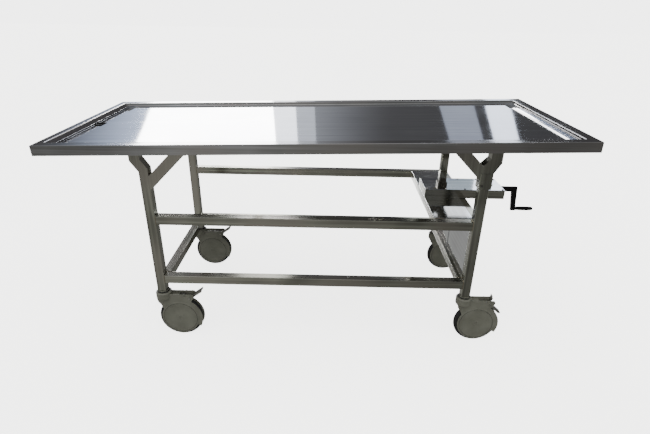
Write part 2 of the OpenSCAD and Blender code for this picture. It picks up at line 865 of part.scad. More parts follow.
// Wheel centre with its hub
module wheel_rim(sx, sy) {
    color("gray") at_caster(sx, sy) translate([caster_trail, 0, wheel_r]) rotate([90, 0, 0])
        difference() {
            union() {
                translate([0, 0, -tyre_w / 2 + 5]) cylinder(r = rim_r, h = tyre_w - 10);
                translate([0, 0, -cheek_y + 0.5]) cylinder(r = hub_r, h = 2 * cheek_y - 1);
            }
            translate([0, 0, -cheek_y]) cylinder(r = axle_r + bore_gap, h = 2 * cheek_y);
        }
}

// Tyre with a crowned tread
module wheel_tyre(sx, sy) {
    shoulder = 8;
    color("black") at_caster(sx, sy) translate([caster_trail, 0, wheel_r]) rotate([90, 0, 0])
        rotate_extrude() {
            translate([rim_r, -tyre_w / 2 + 1]) square([wheel_r - rim_r - shoulder, tyre_w - 2]);
            translate([rim_r, -tyre_w / 2 + shoulder])
                square([wheel_r - rim_r, tyre_w - 2 * shoulder]);
            for (s = [-1, 1])
                translate([wheel_r - shoulder, s * (tyre_w / 2 - shoulder)]) circle(r = shoulder);
        }
}

// Rocking foot pedal of the brake, a channel with a release lug and its pivot pin
module brake_pedal(sx, sy, pressed) {
    turn = (pressed ? pedal_travel : 0) - pedal_angle;
    pin_l = 2 * (cheek_out + fit_gap);
    color("dimgray") at_caster(sx, sy) translate([pedal_x, 0, pedal_z]) rotate([0, turn, 0]) {
        rotate([90, 0, 0]) {
            cylinder(r = pedal_pin_r, h = pin_l, center = true);
            cylinder(r = pedal_hub_r, h = pedal_w, center = true);
            for (s = [-1, 1]) translate([0, 0, s * (pin_l / 2 + 1)])
                cylinder(r = pedal_pin_r + 2, h = 2, center = true);
        }
        translate([0, -pedal_w / 2, -pedal_t / 2]) cube([pedal_l, pedal_w, pedal_t]);
        for (s = [-1, 1]) side_plate(s * (pedal_w - pedal_t) / 2, pedal_t) polygon([
            [0, 0],
            [0, -pedal_flange],
            [pedal_l - pedal_flange, -pedal_flange],
            [pedal_l, 0]]);
        rotate([0, -lug_angle, 0]) translate([0, -lug_w / 2, -pedal_t / 2])
            cube([lug_l, lug_w, pedal_t]);
    }
}

module caster_fork_fl() { caster_fork(-1, -1); }
module wheel_rim_fl() { wheel_rim(-1, -1); }
module wheel_tyre_fl() { wheel_tyre(-1, -1); }
module brake_pedal_fl() { brake_pedal(-1, -1, false); }
module caster_fork_rl() { caster_fork(-1, 1); }
module wheel_rim_rl() { wheel_rim(-1, 1); }
module wheel_tyre_rl() { wheel_tyre(-1, 1); }
module brake_pedal_rl() { brake_pedal(-1, 1, false); }
module caster_fork_fr() { caster_fork(1, -1); }
module wheel_rim_fr() { wheel_rim(1, -1); }
module wheel_tyre_fr() { wheel_tyre(1, -1); }
module brake_pedal_fr() { brake_pedal(1, -1, true); }
module caster_fork_rr() { caster_fork(1, 1); }
module wheel_rim_rr() { wheel_rim(1, 1); }
module wheel_tyre_rr() { wheel_tyre(1, 1); }
module brake_pedal_rr() { brake_pedal(1, 1, false); }

table_pan();
front_edge();
rear_edge();
foot_edge();
head_edge();
cross_channels();
hinge_knuckles();
drain_fitting();
foot_leg_front();
foot_leg_rear();
foot_cross_beam();
head_leg_front();
head_leg_rear();
mid_rail_front();
mid_rail_rear();
low_rail_front();
low_rail_rear();
foot_end_rail();
head_end_rail();
head_mid_rail();
shelf_rail();
shelf_pan();
head_end_panel();
caster_sockets();
gear_housing();
housing_lid();
hinge_brackets();
hinge_pins();
head_sleeve_front();
head_sleeve_rear();
yoke_beam_inner();
yoke_beam_outer();
rest_bar();
lift_tube();
lift_nut();
sleeve_glides();
jack_screw();
screw_gear();
crank_handle();
crank_gear();
crank_grip();
caster_fork_fl();
wheel_rim_fl();
wheel_tyre_fl();
brake_pedal_fl();
caster_fork_rl();
wheel_rim_rl();
wheel_tyre_rl();
brake_pedal_rl();
caster_fork_fr();
wheel_rim_fr();
wheel_tyre_fr();
brake_pedal_fr();
caster_fork_rr();
wheel_rim_rr();
wheel_tyre_rr();
brake_pedal_rr();
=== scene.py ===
import math
import bmesh
import bpy
from mathutils import Matrix, Vector, noise


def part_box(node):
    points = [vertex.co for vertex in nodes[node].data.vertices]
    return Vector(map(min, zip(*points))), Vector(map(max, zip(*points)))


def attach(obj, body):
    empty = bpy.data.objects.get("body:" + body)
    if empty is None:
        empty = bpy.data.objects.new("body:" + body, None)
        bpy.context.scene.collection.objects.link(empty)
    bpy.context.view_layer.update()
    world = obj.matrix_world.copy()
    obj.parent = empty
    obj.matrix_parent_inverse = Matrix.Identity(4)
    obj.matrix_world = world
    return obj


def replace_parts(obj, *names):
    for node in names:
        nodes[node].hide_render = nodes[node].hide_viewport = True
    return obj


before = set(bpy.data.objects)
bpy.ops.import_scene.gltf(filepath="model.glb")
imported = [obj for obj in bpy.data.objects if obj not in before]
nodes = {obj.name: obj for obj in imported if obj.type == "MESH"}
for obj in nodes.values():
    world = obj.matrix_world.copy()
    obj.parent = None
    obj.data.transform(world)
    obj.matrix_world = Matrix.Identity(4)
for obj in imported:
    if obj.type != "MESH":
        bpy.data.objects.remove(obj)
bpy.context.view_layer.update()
print("frame loaded:", len(nodes), "nodes")

# the cart's looks, in metres: +X is the head end with the crank, +Y the rear side

# the table's tilt about its foot hinge, as it stands in the frame
hinge = {"x": -0.704, "z": 0.942, "tilt": math.radians(1.5), "shift": 0.000645}
tableTurn = (Matrix.Translation((hinge["x"], 0, hinge["z"]))
             @ Matrix.Rotation(-hinge["tilt"], 4, "Y")
             @ Matrix.Translation((hinge["shift"] - hinge["x"], 0, -hinge["z"])))
corners = {"foot_front": (-0.704, -0.33, "fl"), "foot_rear": (-0.704, 0.33, "rl"),
           "head_front": (0.704, -0.33, "fr"), "head_rear": (0.704, 0.33, "rr")}


# colour and shader helpers
def linear(hexCode, alpha=1.0):
    out = []
    for i in (1, 3, 5):
        c = int(hexCode[i:i + 2], 16) / 255
        out.append(c / 12.92 if c <= 0.04045 else ((c + 0.055) / 1.055) ** 2.4)
    return (*out, alpha)


def addNode(tree, kind, settings=None, links=None):
    # one node, its settings, and where its inputs come from
    made = tree.nodes.new(kind)
    for key, value in (settings or {}).items():
        if isinstance(key, str) and hasattr(made, key):
            setattr(made, key, value)
        else:
            made.inputs[key].default_value = value
    for key, source in (links or {}).items():
        tree.links.new(source, made.inputs[key])
    return made


def newMaterial(name):
    material = bpy.data.materials.new(name)
    material.use_nodes = True
    tree = material.node_tree
    tree.nodes.clear()
    surface = addNode(tree, "ShaderNodeBsdfPrincipled")
    addNode(tree, "ShaderNodeOutputMaterial", None, {"Surface": surface.outputs["BSDF"]})
    coords = addNode(tree, "ShaderNodeTexCoord")
    return material, tree, surface, coords.outputs["Object"]


def ramp(tree, source, stops):
    made = addNode(tree, "ShaderNodeValToRGB", None, {"Fac": source})
    band = made.color_ramp
    while len(band.elements) < len(stops):
        band.elements.new(0.5)
    for element, (place, colour) in zip(band.elements, stops):
        element.position = place
        element.color = colour if len(colour) == 4 else (*colour, 1)
    return made.outputs["Color"]


def grey(v):
    return (v, v, v, 1)


# metals
# stainless tube and sheet, 304, ground with a 180 grit belt along its length: long fine
# scratches that stretch the highlights, warm grey with brown and olive patches, wipe marks
steelFinish = {"base": "#b7b8ac", "deep": "#87877e", "cast": "#a9a49b", "roughness": (0.11, 0.18),
               "scratchMm": 4.4, "scratchLengthMm": 300, "streakMm": 12, "wipeMm": 150,
               "bump": 0.02}
# the same sheet buffed bright: near mirror, long faint grain, a slightly uneven sheet
brightFinish = {"base": "#d3d4d6", "deep": "#bcbdc1", "cast": "#c9c9cd",
                "roughness": (0.030, 0.065), "scratchMm": 4.8, "scratchLengthMm": 600,
                "streakMm": 19, "wipeMm": 220, "bump": 0.004}
# where the top is folded and ground along its rim: between the two
rimFinish = {"base": "#b9b9bb", "deep": "#9a9998", "cast": "#aea9a6", "roughness": (0.06, 0.11),
             "scratchMm": 3.6, "scratchLengthMm": 400, "streakMm": 9, "wipeMm": 180,
             "bump": 0.012}
# the shelf's sheet, wiped often: a near mirror with a short, uneven grain across it
shelfFinish = {"base": "#cfd0d1", "deep": "#b3b4b6", "cast": "#c6c6c4", "roughness": (0.06, 0.10),
               "scratchMm": 2.4, "scratchLengthMm": 300, "streakMm": 18, "wipeMm": 90,
               "bump": 0.02}


def brushedSteel(name, along, finish):
    material, tree, surface, place = newMaterial(name)
    across = 1000 / finish["scratchMm"]
    scale = [across] * 3
    scale["XYZ".index(along)] = 1000 / finish["scratchLengthMm"]
    grain = addNode(tree, "ShaderNodeMapping", {"Scale": scale}, {"Vector": place})
    scratch = addNode(tree, "ShaderNodeTexNoise", {"Scale": 1.0, "Detail": 3.0, "Roughness": 0.6},
                      {"Vector": grain.outputs["Vector"]})
    # broader streaks that the belt leaves side by side
    streak = addNode(tree, "ShaderNodeTexNoise",
                     {"Scale": finish["scratchMm"] / finish["streakMm"], "Detail": 2.0},
                     {"Vector": grain.outputs["Vector"]})
    wipe = addNode(tree, "ShaderNodeTexNoise",
                   {"Scale": 1000 / finish["wipeMm"], "Detail": 2.0, "Roughness": 0.5},
                   {"Vector": place})
    patch = addNode(tree, "ShaderNodeTexNoise", {"Scale": 3.1, "Detail": 2.0}, {"Vector": place})
    lines = addNode(tree, "ShaderNodeMix", {"data_type": "FLOAT", "Factor": 0.85},
                    {2: scratch.outputs["Fac"], 3: streak.outputs["Fac"]})
    both = addNode(tree, "ShaderNodeMix", {"data_type": "FLOAT", "Factor": 0.35},
                   {2: lines.outputs[0], 3: wipe.outputs["Fac"]})
    low, high = finish["roughness"]
    tree.links.new(ramp(tree, both.outputs[0], [(0.3, grey(low)), (0.7, grey(high))]),
                   surface.inputs["Roughness"])
    tone = ramp(tree, both.outputs[0], [(0.40, linear(finish["deep"])),
                                        (0.60, linear(finish["base"]))])
    share = addNode(tree, "ShaderNodeMapRange",
                    {"From Min": 0.42, "From Max": 0.62, "To Max": 0.8},
                    {"Value": patch.outputs["Fac"]})
    tinted = addNode(tree, "ShaderNodeMix", {"data_type": "RGBA", 7: linear(finish["cast"])},
                     {0: share.outputs["Result"], 6: tone})
    tree.links.new(tinted.outputs[2], surface.inputs["Base Color"])
    bump = addNode(tree, "ShaderNodeBump", {"Strength": finish["bump"], "Distance": 0.0004},
                   {"Height": scratch.outputs["Fac"]})
    tree.links.new(bump.outputs["Normal"], surface.inputs["Normal"])
    surface.inputs["Metallic"].default_value = 1.0
    return material


steelAlongX = brushedSteel("steelBrushedAlongX", "X", steelFinish)
steelAlongY = brushedSteel("steelBrushedAlongY", "Y", steelFinish)
steelAlongZ = brushedSteel("steelBrushedAlongZ", "Z", steelFinish)
sheetBright = brushedSteel("steelSheetBright", "X", brightFinish)
sheetBrightAcross = brushedSteel("steelSheetBrightAcross", "Y", brightFinish)
rimAlongX = brushedSteel("steelRimAlongX", "X", rimFinish)
sheetWiped = brushedSteel("steelSheetWiped", "Y", shelfFinish)


# plastics, rubber, coatings and small machined parts: a fine grain, colour that varies little
def moulded(name, base, deep, roughness, grainMm, bump, metallic=0.0, gloss=0.5):
    material, tree, surface, place = newMaterial(name)
    grain = addNode(tree, "ShaderNodeTexNoise", {"Scale": 1000 / grainMm, "Detail": 2.0},
                    {"Vector": place})
    stain = addNode(tree, "ShaderNodeTexNoise", {"Scale": 14.0, "Detail": 5.0, "Roughness": 0.6},
                    {"Vector": place})
    tree.links.new(ramp(tree, stain.outputs["Fac"], [(0.35, linear(deep)), (0.65, linear(base))]),
                   surface.inputs["Base Color"])
    low, high = roughness
    tree.links.new(ramp(tree, stain.outputs["Fac"], [(0.3, grey(low)), (0.7, grey(high))]),
                   surface.inputs["Roughness"])
    made = addNode(tree, "ShaderNodeBump", {"Strength": bump, "Distance": 0.0005},
                   {"Height": grain.outputs["Fac"]})
    tree.links.new(made.outputs["Normal"], surface.inputs["Normal"])
    surface.inputs["Metallic"].default_value = metallic
    surface.inputs["Specular IOR Level"].default_value = gloss
    return material


# glass-filled nylon, moulded, olive grey: satin, with a slight bloom
casterNylon = moulded("nylonGreyMoulded", "#77776b", "#68685d", (0.42, 0.55), 1.4, 0.22)
# black rubber tread, moulded: matt, a little dusty
tyreRubber = moulded("rubberBlackTread", "#262625", "#1b1b1a", (0.6, 0.78), 2.2, 0.35)
# black phenolic grip, moulded: smooth and slightly shiny
gripPhenolic = moulded("phenolicBlackGrip", "#0d0d0e", "#080808", (0.30, 0.42), 2.5, 0.08,
                       gloss=0.22)
# acetal rings, machined: waxy white
glideAcetal = moulded("acetalWhiteGlide", "#e4e2da", "#d6d3ca", (0.35, 0.45), 2.0, 0.05)
# nitrile wiper and seals: soft matt black; the same black serves as painted shade in the drain's black
# sleeve and in the thin rings on the caster covers
blackSealAndShade = moulded("nitrileSealAndPaintedShade", "#1a1a1a", "#101010", (0.5, 0.65), 1.5, 0.15)
# black stove enamel over steel: smooth, fairly dull, a faint orange peel
crankEnamel = moulded("enamelBlackCrank", "#0f0f0f", "#090909", (0.40, 0.52), 3.0, 0.06,
                      gloss=0.25)
# zinc plated pressed steel: pale, slightly blotchy
pedalZinc = moulded("steelZincPressed", "#b9b8b1", "#9a9992", (0.34, 0.48), 1.5, 0.1, 1.0)
# machined bronze: yellow brown, oily
gearBronze = moulded("bronzeMachined", "#b58a4c", "#8f6a36", (0.28, 0.4), 1.0, 0.1, 1.0)
# machined steel with a film of grease
screwSteel = moulded("steelScrewGreased", "#7d7b77", "#5c5a56", (0.22, 0.34), 1.0, 0.08, 1.0)
# stainless fasteners, cold headed: small bright faces
boltSteel = moulded("steelFastener", "#b9b8b4", "#a09f9a", (0.2, 0.32), 0.8, 0.05, 1.0)
# welds, brushed after the torch: rippled, a little straw coloured
weldSteel = moulded("steelWeldBrushed", "#a79f8c", "#8a806c", (0.26, 0.4), 0.9, 0.2, 1.0)
print("materials made")


def dress(names, material):
    for name in names:
        mesh = nodes[name].data
        mesh.materials.clear()
        mesh.materials.append(material)


dress(["table_pan", "housing_lid"], sheetBright)
dress(["shelf_pan"], sheetWiped)
dress(["head_end_panel"], sheetBrightAcross)
dress(["front_edge", "rear_edge", "foot_edge", "head_edge"], rimAlongX)
dress(["foot_leg_front", "foot_leg_rear", "head_leg_front", "head_leg_rear",
       "head_sleeve_front", "head_sleeve_rear", "lift_tube"], steelAlongZ)
dress(["mid_rail_front", "mid_rail_rear", "low_rail_front", "low_rail_rear",
       "gear_housing"], steelAlongX)
dress(["cross_channels", "hinge_knuckles", "drain_fitting", "foot_cross_beam", "foot_end_rail",
       "head_end_rail", "head_mid_rail", "shelf_rail", "yoke_beam_inner", "yoke_beam_outer",
       "rest_bar", "hinge_brackets", "hinge_pins", "caster_sockets"], steelAlongY)
dress(["jack_screw"], screwSteel)
dress(["screw_gear", "crank_gear", "lift_nut"], gearBronze)
dress(["crank_handle"], crankEnamel)
dress(["crank_grip"], gripPhenolic)
dress(["sleeve_glides"], glideAcetal)
for spot in corners.values():
    dress(["caster_fork_" + spot[2], "wheel_rim_" + spot[2]], casterNylon)
    dress(["wheel_tyre_" + spot[2]], tyreRubber)
    dress(["brake_pedal_" + spot[2]], pedalZinc)
print("frame dressed")


# mesh helpers
def addPiece(name, shape, material, body, sharp=32):
    mesh = bpy.data.meshes.new(name)
    shape.to_mesh(mesh)
    shape.free()
    mesh.materials.append(material)
    mesh.shade_smooth()
    mesh.set_sharp_from_angle(angle=math.radians(sharp))
    piece = bpy.data.objects.new(name, mesh)
    bpy.context.scene.collection.objects.link(piece)
    # flat faces stay flat beside their rounded bends
    shading = piece.modifiers.new("flatFaces", "WEIGHTED_NORMAL")
    shading.keep_sharp = True
    shading.weight = 80
    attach(piece, body)
    return piece


def closed(shape):
    # joins the seams and turns every face outwards
    bmesh.ops.remove_doubles(shape, verts=shape.verts, dist=0.000002)
    bmesh.ops.recalc_face_normals(shape, faces=shape.faces)
    return shape


def roundOver(shape, width, segments=3, angle=28, keep=None):
    edges = [e for e in shape.edges if e.is_manifold and not e.is_boundary
             and e.calc_face_angle(0) > math.radians(angle) and (keep is None or keep(e))]
    bmesh.ops.bevel(shape, geom=edges, offset=width, offset_type="OFFSET", segments=segments,
                    profile=0.5, affect="EDGES", material=-1, clamp_overlap=True)


def copyOf(name, width, segments=3, angle=28):
    # one of the frame's own solids with its bends and corners rounded over
    shape = bmesh.new()
    shape.from_mesh(nodes[name].data)
    bmesh.ops.remove_doubles(shape, verts=shape.verts, dist=0.00002)
    bmesh.ops.dissolve_limit(shape, angle_limit=math.radians(0.5), verts=shape.verts,
                             edges=shape.edges)
    roundOver(shape, width, segments, angle)
    return shape


def sliced(shape, cuts):
    # divides a sheet, so that it can wave: for each axis from where to where, in how many parts
    for axis, (low, high, count) in cuts.items():
        direction = Vector([1.0 if c == axis else 0.0 for c in "XYZ"])
        for i in range(1, count):
            place = low + (high - low) * i / count
            bmesh.ops.bisect_plane(shape, geom=shape.verts[:] + shape.edges[:] + shape.faces[:],
                                   dist=0.00001, plane_co=direction * place, plane_no=direction)


def spun(profile, turns=64):
    # a profile of (radius, height) points turned once about Z
    shape = bmesh.new()
    points = [shape.verts.new((r, 0, z)) for r, z in profile]
    chain = [shape.edges.new(pair) for pair in zip(points, points[1:])]
    bmesh.ops.spin(shape, geom=points + chain, cent=(0, 0, 0), axis=(0, 0, 1), dvec=(0, 0, 0),
                   angle=math.tau, space=Matrix.Identity(4), steps=turns, use_merge=True,
                   use_normal_flip=False, use_duplicate=False)
    return closed(shape)


def joined(shape, part, place):
    # adds a part to a shape at a place
    bmesh.ops.transform(part, matrix=place, verts=part.verts)
    mesh = bpy.data.meshes.new("loose")
    part.to_mesh(mesh)
    part.free()
    shape.from_mesh(mesh)
    bpy.data.meshes.remove(mesh)


def sweptRound(shape, path, radii, sides):
    # rings along a closed path, bridged one to the next
    loops = []
    for i, point in enumerate(path):
        ahead = path[(i + 1) % len(path)] - path[i - 1]
        turn = ahead.to_track_quat("Z", "Y").to_matrix().to_4x4()
        verts = bmesh.ops.create_circle(shape, cap_ends=False, segments=sides, radius=radii[i],
                                        matrix=Matrix.Translation(point) @ turn)["verts"]
        loops.append(list({e for v in verts for e in v.link_edges}))
    for first, second in zip(loops, loops[1:] + loops[:1]):
        bmesh.ops.bridge_loops(shape, edges=first + second)


def titled(name):
    # a node's name as a piece's name
    return "".join(word.title() for word in name.split("_"))


def about(axis, degrees):
    return Matrix.Rotation(math.radians(degrees), 4, axis)


def at(x, y, z):
    return Matrix.Translation((x, y, z))


def screwHead(across, tall):
    # a domed button head with its socket, standing on z = 0
    r = across / 2
    return spun([(0, tall * 0.55), (r * 0.42, tall * 0.55), (r * 0.45, tall),
                 (r * 0.72, tall * 0.93), (r * 0.93, tall * 0.62), (r, tall * 0.2), (r, 0),
                 (0, 0)], 20)


def hexHead(across, tall):
    # across is measured from flat to flat, and the corners lie further out
    shape = bmesh.new()
    corner = across * 0.577
    bmesh.ops.create_cone(shape, cap_ends=True, segments=6, radius1=corner, radius2=corner,
                          depth=tall, matrix=at(0, 0, tall / 2))
    roundOver(shape, tall * 0.12, 2)
    return shape


# the top: one folded rim, a dished pan with a channel at each end, and the drain
# the rim's section as heights, and how far in each one lies at the sides, the foot and the head:
# lip, apron, flat, a slight roll at its inner edge, and the wall down to the pan
top = {"length": 2.184, "width": 0.870, "z": 0.9715, "bend": 0.0020, "panBend": 0.0025,
       "sheet": 0.003,
       "rimHeights": [-0.042, -0.042, 0.0, 0.0, -0.0008, -0.0122, -0.0140],
       "sideInsets": [0.018, 0.0, 0.0, 0.0405, 0.0452, 0.0466, 0.0480],
       "footInsets": [0.018, 0.0, 0.0, 0.0285, 0.0338, 0.0479, 0.0500],
       "headInsets": [0.018, 0.0, 0.0, 0.0430, 0.0474, 0.0486, 0.0500],
       "rimCuts": {"X": (-1.09, 1.09, 44), "Y": (-0.43, 0.43, 18)},
       "panCuts": {"X": (-0.98, 0.98, 56), "Y": (-0.38, 0.38, 18)},
       "waveMm": 0.2, "waveSize": 0.55, "fadeX": (0.985, 0.25), "fadeY": (0.386, 0.08),
       "apronWander": 0.00025, "sharpBelow": 0.0115}


def wavy(shape, amount, size, fade=None):
    # a sheet is never quite flat: it stands up and down by a fraction of a millimetre
    for v in shape.verts:
        lift = noise.noise(Vector((v.co.x / size, v.co.y / size * 1.4, 3.7)))
        v.co.z += lift * amount * (fade(v.co) if fade else 1)


rim = bmesh.new()
ends = []
for sx, sy in ((-1, -1), (1, -1), (1, 1), (-1, 1)):
    ring = [rim.verts.new((sx * (top["length"] / 2 - x), sy * (top["width"] / 2 - y),
                           top["z"] + z))
            for x, y, z in zip(top["headInsets" if sx > 0 else "footInsets"], top["sideInsets"],
                               top["rimHeights"])]
    ends.append([rim.edges.new(pair) for pair in zip(ring, ring[1:])])
for first, second in zip(ends, ends[1:] + ends[:1]):
    bmesh.ops.bridge_loops(rim, edges=first + second)
bmesh.ops.recalc_face_normals(rim, faces=rim.faces)
highest = max(rim.faces, key=lambda f: f.calc_center_median().z)
if highest.normal.z < 0:
    bmesh.ops.reverse_faces(rim, faces=rim.faces)


def folded(edge):
    # the bends that are rolled: the apron's own and the one along the flat, not the wall's mitres
    return all(v.co.z > top["z"] - top["sharpBelow"] or abs(v.co.x) > top["length"] / 2 - 0.001
               or abs(v.co.y) > top["width"] / 2 - 0.001 for v in edge.verts)


roundOver(rim, top["bend"], 4, 24, folded)
bmesh.ops.solidify(rim, geom=rim.faces[:], thickness=top["sheet"])
sliced(rim, top["rimCuts"])
for v in rim.verts:
    # the apron wanders a little along its length
    v.co.y -= math.copysign(top["apronWander"], v.co.y) * (1 + noise.noise(v.co * 5))
bmesh.ops.transform(rim, matrix=tableTurn, verts=rim.verts)
rimPiece = addPiece("tableRim", rim, rimAlongX, "table", 26)
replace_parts(rimPiece, "front_edge", "rear_edge", "foot_edge", "head_edge")

pan = copyOf("table_pan", top["panBend"], 3, 20)
bmesh.ops.transform(pan, matrix=tableTurn.inverted(), verts=pan.verts)
sliced(pan, top["panCuts"])


def towardsRim(p):
    # the wave dies out before the pan's edges
    (endX, spanX), (endY, spanY) = top["fadeX"], top["fadeY"]
    return (min(1, max(0, (endY - abs(p.y)) / spanY))
            * min(1, max(0, (endX - abs(p.x)) / spanX)))


wavy(pan, top["waveMm"] / 1000, top["waveSize"], towardsRim)
bmesh.ops.transform(pan, matrix=tableTurn, verts=pan.verts)
panPiece = addPiece("tablePan", pan, sheetBright, "table", 24)
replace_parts(panPiece, "table_pan")

# the drain's cup, spun with a rolled lip, and its spout with a hose groove
drain = {"x": -1.0145, "z": 0.9465, "flange": 0.029, "outer": 0.024, "bore": 0.021,
         "length": 0.042}
bore, outer, flange, spoutEnd = drain["bore"], drain["outer"], drain["flange"], -drain["length"]
cup = spun([(bore, 0.0029), (bore, spoutEnd + 0.001), (bore + 0.0008, spoutEnd),
            (outer - 0.0008, spoutEnd), (outer, spoutEnd + 0.001), (outer, -0.030),
            (outer - 0.0009, -0.0288), (outer - 0.0009, -0.026), (outer, -0.0248),
            (outer, -0.0062), (outer + 0.0018, -0.0034), (flange - 0.0006, -0.003),
            (flange, -0.0024), (flange, -0.0001), (outer, -0.0001), (outer, 0.0002),
            (bore + 0.0006, 0.0033), (bore, 0.0029)])
drainPlace = tableTurn @ at(drain["x"], 0, drain["z"])
bmesh.ops.transform(cup, matrix=drainPlace, verts=cup.verts)
cupPiece = addPiece("drainCup", cup, steelAlongY, "table")
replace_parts(cupPiece, "drain_fitting")
# a black sleeve lines the bore and rolls over its lip, so the drain reads as a dark ring: this black is
# painted shade, standing in for the shadow inside a deeper drain hole
sleeve = {"wall": 0.0016, "lip": 0.0268, "rise": 0.0072}
inner, lip, rise = bore - sleeve["wall"], sleeve["lip"], sleeve["rise"]
shadeLining = spun([(bore - 0.0001, 0.0036), (bore - 0.0001, spoutEnd + 0.002),
               (inner, spoutEnd + 0.002), (inner, 0.0040),
               (bore - 0.0004, rise - 0.0006), (bore + 0.0016, rise),
               (lip - 0.0014, rise - 0.0006), (lip, 0.0050), (lip, 0.0040), (lip - 0.0006, 0.0036),
               (bore - 0.0001, 0.0036)])
bmesh.ops.transform(shadeLining, matrix=drainPlace, verts=shadeLining.verts)
addPiece("drainShadeLining", shadeLining, blackSealAndShade, "table")

for name, body, width in (("cross_channels", "table", 0.0022), ("hinge_knuckles", "table", 0.0008),
                          ("hinge_brackets", "base", 0.0008)):
    softer = addPiece(titled(name), copyOf(name, width), steelAlongY, body)
    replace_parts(softer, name)
print("top done")

# the frame: fabricated legs with rounded corners, weld beads, shelf and end panel; its beams
# are given as the height of their middle, and how tall they are
frameWork = {"legBend": 0.0028, "weld": 0.0017, "pitch": 0.0021, "corner": 0.003, "tube": 0.040,
             "legX": 0.704, "legY": 0.33, "midZ": 0.612, "lowZ": 0.313, "shelfX": 0.543,
             "footBeam": (0.9185, 0.025), "liftX": (0.560, 0.836), "liftY": 0.3075,
             "liftBeam": (0.960, 0.030)}
for name, body in (("foot_leg_front", "base"), ("foot_leg_rear", "base"),
                   ("head_sleeve_front", "yoke"), ("head_sleeve_rear", "yoke")):
    leg = addPiece(titled(name), copyOf(name, frameWork["legBend"]), steelAlongZ, body)
    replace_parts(leg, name)


def weldRing(shape, centre, axis, tall=frameWork["tube"]):
    # a rippled bead round the end of a tube that runs along the axis
    bend = frameWork["corner"]
    reach = (frameWork["tube"] / 2, tall / 2)
    route = []
    for quarter, (sx, sy) in enumerate(((1, 1), (-1, 1), (-1, -1), (1, -1))):
        for step in range(4):
            angle = math.radians(90 * quarter + 30 * step)
            route.append((sx * (reach[0] - bend) + bend * math.cos(angle),
                          sy * (reach[1] - bend) + bend * math.sin(angle)))
    path = []
    for (ax, ay), (bx, by) in zip(route, route[1:] + route[:1]):
        span = math.hypot(bx - ax, by - ay)
        count = max(1, round(span / frameWork["pitch"]))
        path += [(ax + (bx - ax) * i / count, ay + (by - ay) * i / count) for i in range(count)]
    spin = {"X": about("Z", 90) @ about("X", 90), "Y": about("X", 90)}[axis]
    place = at(*centre) @ spin
    points = [place @ Vector((x, y, 0)) for x, y in path]
    radii = [frameWork["weld"] * (1 + 0.13 * (-1) ** i + 0.08 * noise.noise(p * 300))
             for i, p in enumerate(points)]
    sweptRound(shape, points, radii, 6)


baseWelds = bmesh.new()
legX, legY, midZ, lowZ = (frameWork[key] for key in ("legX", "legY", "midZ", "lowZ"))
# the inner faces of the legs
faceX, faceY = legX - frameWork["tube"] / 2, legY - frameWork["tube"] / 2
for sx in (-1, 1):
    for sy in (-1, 1):
        weldRing(baseWelds, (sx * faceX, sy * legY, midZ), "X")
        weldRing(baseWelds, (sx * faceX, sy * legY, lowZ), "X")
        weldRing(baseWelds, (sx * faceX, sy * faceY, lowZ), "Y")
beamZ, beamTall = frameWork["footBeam"]
for sy in (-1, 1):
    weldRing(baseWelds, (legX, sy * faceY, midZ), "Y")
    weldRing(baseWelds, (frameWork["shelfX"], sy * faceY, midZ), "Y")
    weldRing(baseWelds, (-legX, sy * faceY, beamZ), "Y", beamTall)
closed(baseWelds)
addPiece("frameWelds", baseWelds, weldSteel, "base", 60)
liftWelds = bmesh.new()
beamZ, beamTall = frameWork["liftBeam"]
for sy in (-1, 1):
    for x in frameWork["liftX"]:
        weldRing(liftWelds, (x, sy * frameWork["liftY"], beamZ), "Y", beamTall)
closed(liftWelds)
addPiece("liftWelds", liftWelds, weldSteel, "yoke", 60)

sheets = {"bend": 0.0008, "waveMm": 0.3, "waveSize": 0.3,
          "cuts": {"X": (0.523, 0.692, 8), "Y": (-0.30, 0.30, 18)}}
shelf = copyOf("shelf_pan", sheets["bend"])
sliced(shelf, sheets["cuts"])
wavy(shelf, sheets["waveMm"] / 1000, sheets["waveSize"])
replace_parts(addPiece("shelfSheet", shelf, sheetWiped, "base", 24),
            "shelf_pan")
panel = copyOf("head_end_panel", sheets["bend"])
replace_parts(addPiece("endPanel", panel, sheetBrightAcross, "base", 24),
            "head_end_panel")

# one blackened stop bolt in each sleeve's lower corner, and the small stud on the front rail
smallParts = {"stopAcross": 0.00992, "stopTall": 0.0042, "stop": (0.6885, 0.356, 0.8035),
              "studWide": 0.016, "studTall": 0.007, "stud": (0.158, -0.33, 0.3328)}
stops = bmesh.new()
x, y, z = smallParts["stop"]
for sy in (-1, 1):
    joined(stops, hexHead(smallParts["stopAcross"], smallParts["stopTall"]),
           at(x, sy * y, z) @ about("X", -90 * sy))
addPiece("sleeveStops", stops, screwSteel, "yoke")
stud = bmesh.new()
joined(stud, screwHead(smallParts["studWide"], smallParts["studTall"]), at(*smallParts["stud"]))
addPiece("railStud", stud, boltSteel, "base")
print("frame done")

# gearbox, jack and crank
gearbox = {"bend": 0.0016, "lidBend": 0.0009, "screwsPerSide": 5, "screwWide": 0.009,
           "screwTall": 0.003, "inset": 0.009, "halfWidth": 0.080, "top": 0.678}
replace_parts(addPiece("gearboxCase", copyOf("gear_housing", gearbox["bend"]), steelAlongX,
                     "base"), "gear_housing")
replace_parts(addPiece("gearboxLid", copyOf("housing_lid", gearbox["lidBend"]), sheetBright, "base"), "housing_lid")
lidScrews = bmesh.new()
low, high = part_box("gear_housing")
for sy in (-1, 1):
    for i in range(gearbox["screwsPerSide"]):
        span = high[0] - low[0] - 2 * gearbox["inset"]
        x = low[0] + gearbox["inset"] + span * i / (gearbox["screwsPerSide"] - 1)
        joined(lidScrews, screwHead(gearbox["screwWide"], gearbox["screwTall"]),
               at(x, sy * (gearbox["halfWidth"] - gearbox["inset"]), gearbox["top"] - 0.0001))
addPiece("lidScrews", lidScrews, boltSteel, "base")

